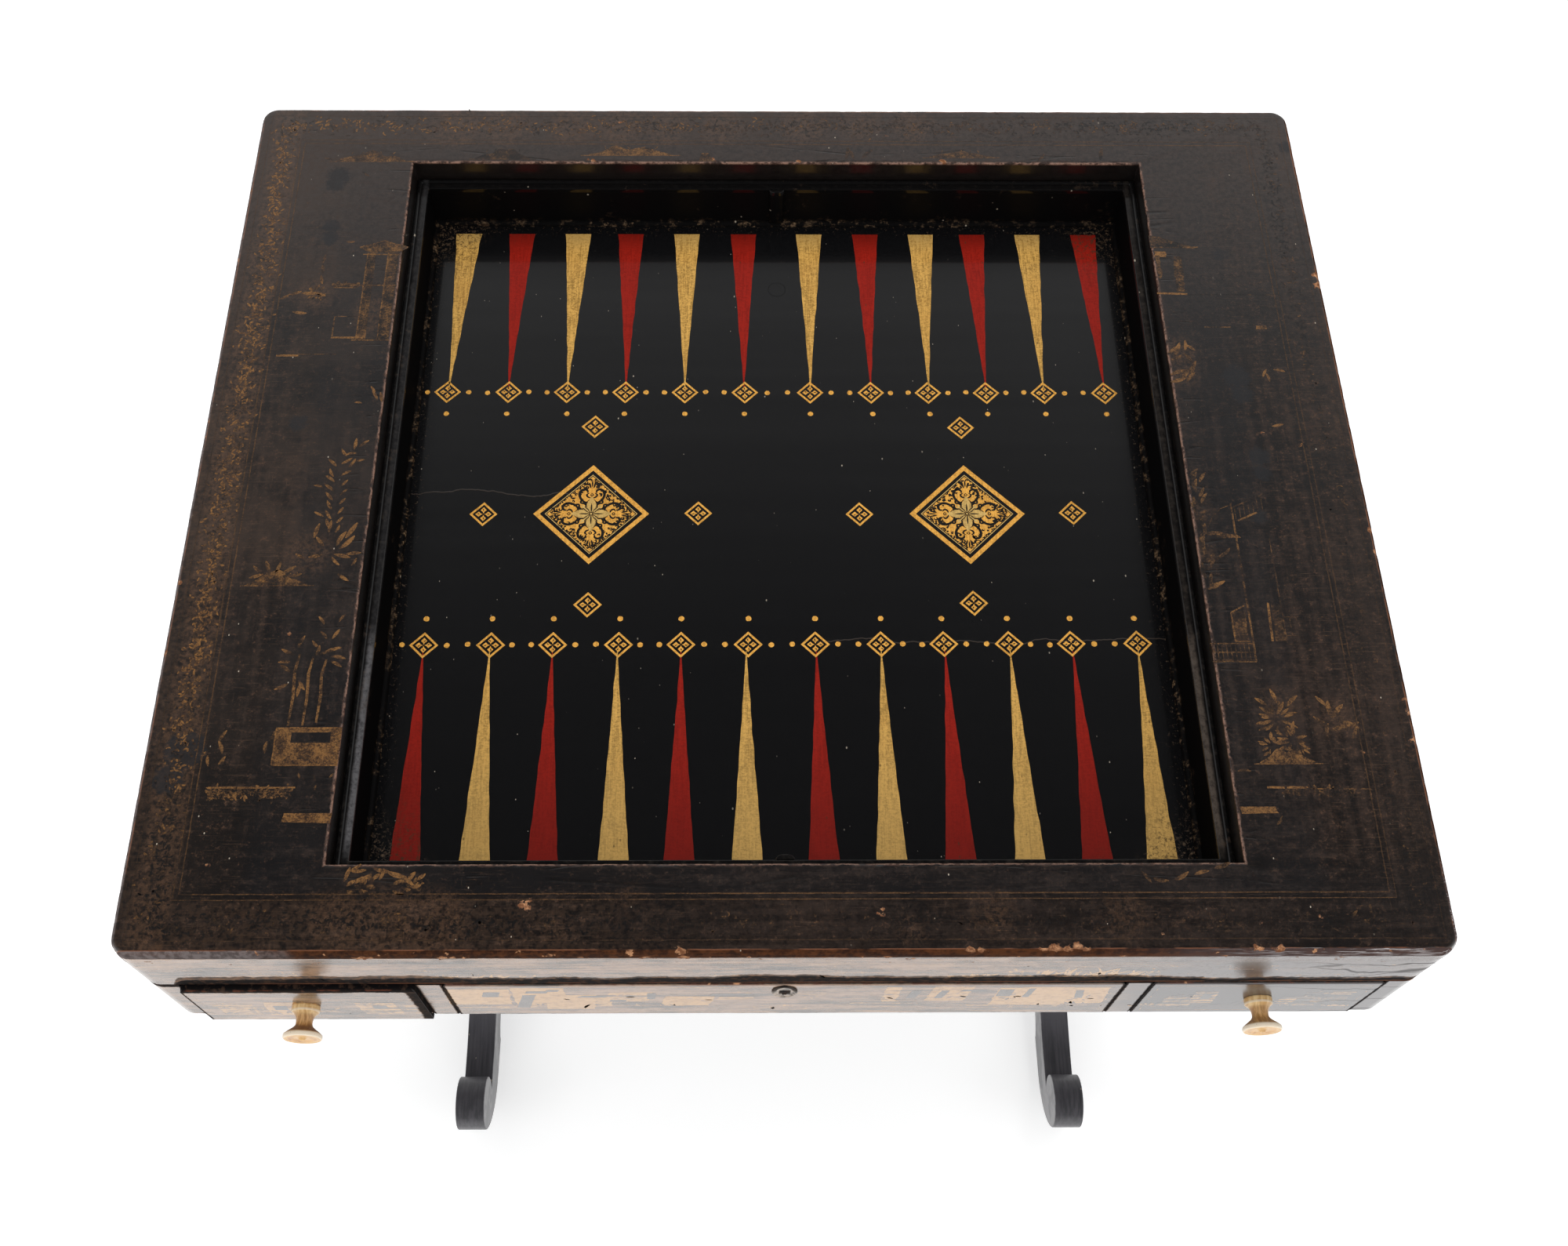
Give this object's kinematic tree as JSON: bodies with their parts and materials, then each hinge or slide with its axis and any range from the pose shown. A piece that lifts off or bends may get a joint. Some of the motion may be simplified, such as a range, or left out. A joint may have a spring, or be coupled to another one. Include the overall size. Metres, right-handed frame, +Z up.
{
  "type": "games table",
  "caption": "Lacquered games table with a sunk playing well in its framed top, drawers in the frieze with turned knobs and scroll-footed trestle ends joined by a stretcher.",
  "frame": {"origin": "on the floor under the middle of the bounding box of the whole table, knobs and the slightly open left drawer included", "axes": "+X to the right along the longest side, +Y from the drawer front to the back, +Z up"},
  "size_m": [0.76, 0.6652, 0.746],
  "materials": {
    "aged_lacquer": "aged brown-black lacquer with worn gilt decoration",
    "board_lacquer": "near-black lacquer, satin",
    "ebonised_wood": "plain black stain, satin",
    "drawer_wood": "bare softwood, matt",
    "turned_bone": "turned bone, satin",
    "worn_metal": "worn, dull",
    "lock_steel": "dull"
  },
  "bodies": {
    "table": {"apron_back": "aged_lacquer", "apron_left": "aged_lacquer", "apron_right": "aged_lacquer", "bearer_left": "ebonised_wood", "bearer_right": "ebonised_wood", "board_plug": "board_lacquer", "case_bottom": "ebonised_wood", "floor_bead_back": "board_lacquer", "floor_bead_front": "board_lacquer", "floor_bead_left": "board_lacquer", "floor_bead_right": "board_lacquer", "foot_bar_left": "ebonised_wood", "foot_bar_right": "ebonised_wood", "ledge_back": "aged_lacquer", "ledge_front": "aged_lacquer", "ledge_left": "aged_lacquer", "ledge_right": "aged_lacquer", "partition_left": "drawer_wood", "partition_right": "drawer_wood", "playing_board": "board_lacquer", "rail_back": "aged_lacquer", "rail_front": "aged_lacquer", "rail_left": "aged_lacquer", "rail_right": "aged_lacquer", "stile_left": "aged_lacquer", "stile_right": "aged_lacquer", "stretcher": "ebonised_wood", "top_back": "aged_lacquer", "top_front": "aged_lacquer", "top_left": "aged_lacquer", "top_right": "aged_lacquer", "upright_left": "ebonised_wood", "upright_right": "ebonised_wood", "wall_slip_back": "board_lacquer", "wall_slip_front": "board_lacquer", "well_lining_back": "board_lacquer", "well_lining_front": "board_lacquer", "well_lining_left": "board_lacquer", "well_lining_right": "board_lacquer"},
    "left_drawer": {"left_drawer_front": "aged_lacquer", "left_drawer_side_left": "drawer_wood", "left_drawer_side_right": "drawer_wood", "left_drawer_back": "drawer_wood", "left_drawer_bottom": "drawer_wood", "knob_left": "turned_bone"},
    "right_drawer": {"right_drawer_front": "aged_lacquer", "right_drawer_side_left": "drawer_wood", "right_drawer_side_right": "drawer_wood", "right_drawer_back": "drawer_wood", "right_drawer_bottom": "drawer_wood", "knob_right": "turned_bone"},
    "centre_drawer": {"centre_drawer_front": "aged_lacquer", "centre_drawer_side_left": "drawer_wood", "centre_drawer_side_right": "drawer_wood", "centre_drawer_back": "drawer_wood", "centre_drawer_bottom": "drawer_wood", "keyhole_plate": "worn_metal", "lock_case": "worn_metal"},
    "lock_bolt": {"lock_bolt": "lock_steel"}
  },
  "joints": [
    {"name": "left_drawer_slide", "type": "slide", "parent": "table", "child": "left_drawer", "axis": [0, -1, 0], "range_m": [-0.003, 0.34]},
    {"name": "right_drawer_slide", "type": "slide", "parent": "table", "child": "right_drawer", "axis": [0, -1, 0], "range_m": [0, 0.345]},
    {"name": "centre_drawer_slide", "type": "slide", "parent": "table", "child": "centre_drawer", "axis": [0, -1, 0], "range_m": [0, 0.345]},
    {"name": "lock_bolt_slide", "type": "slide", "parent": "centre_drawer", "child": "lock_bolt", "axis": [0, 0, 1], "range_m": [0, 0.007]}
  ]
}
